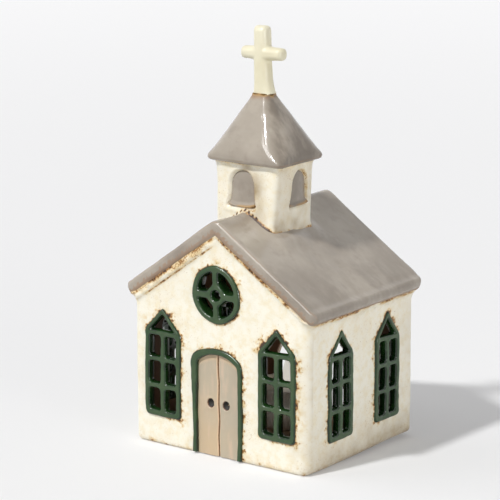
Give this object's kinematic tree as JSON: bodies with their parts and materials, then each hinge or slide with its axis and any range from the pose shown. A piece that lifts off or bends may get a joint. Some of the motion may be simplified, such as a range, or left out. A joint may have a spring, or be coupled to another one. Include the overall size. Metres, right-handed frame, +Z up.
{
  "type": "ceramic chapel tealight house",
  "caption": "Slab-built ceramic chapel with pierced lancet windows, a rose window, a belfry and a cross, lit from inside by an LED tealight that slides out at the rear.",
  "frame": {"origin": "centre of the base, on the surface that the chapel stands on", "axes": "+Z up, the door faces -Y, +X to the right seen from the front"},
  "size_m": [0.1084, 0.0866, 0.1922],
  "materials": {
    "cream_glaze": "cream glaze, burnt brown at the edges",
    "taupe_glaze": "glossy taupe glaze",
    "green_glaze": "glossy dark green glaze",
    "door_glaze": "satin beige glaze",
    "bisque": "unglazed brown clay",
    "candle_plastic": "satin ivory",
    "base_plastic": "matt ivory",
    "flame_plastic": "milky amber",
    "led_lens": "clear, warm",
    "cell_steel": "plain",
    "switch_plastic": "matt black"
  },
  "bodies": {
    "house": {"floor_slab": "bisque", "front_wall": "cream_glaze", "rear_wall": "cream_glaze", "left_wall": "cream_glaze", "right_wall": "cream_glaze", "roof_slab": "taupe_glaze", "belfry": "cream_glaze", "bell_front": "taupe_glaze", "bell_right": "taupe_glaze", "bell_rear": "taupe_glaze", "bell_left": "taupe_glaze", "spire": "taupe_glaze", "cross": "cream_glaze", "door_frame": "green_glaze", "door_leaf_left": "door_glaze", "door_leaf_right": "door_glaze", "front_left_window": "green_glaze", "front_right_window": "green_glaze", "right_front_window": "green_glaze", "right_rear_window": "green_glaze", "left_front_window": "green_glaze", "left_rear_window": "green_glaze", "rose_window": "green_glaze"},
    "tealight": {"tealight_cup": "candle_plastic", "tealight_base": "base_plastic", "tealight_flame": "flame_plastic", "tealight_led": "led_lens", "tealight_coin_cell": "cell_steel"},
    "battery_cover": {"tealight_battery_cover": "base_plastic"},
    "switch": {"tealight_switch": "switch_plastic"}
  },
  "joints": [
    {"name": "tealight_slide", "type": "slide", "parent": "house", "child": "tealight", "axis": [0, 1, 0], "range_m": [0, 0.065]},
    {"name": "cover_twist", "type": "hinge", "parent": "tealight", "child": "battery_cover", "pos_m": [0, 0.0142, 0.0055], "axis": [0, 0, -1], "range_deg": [0, 30]},
    {"name": "switch_slide", "type": "slide", "parent": "tealight", "child": "switch", "axis": [1, 0, 0], "range_m": [0, 0.003]}
  ]
}
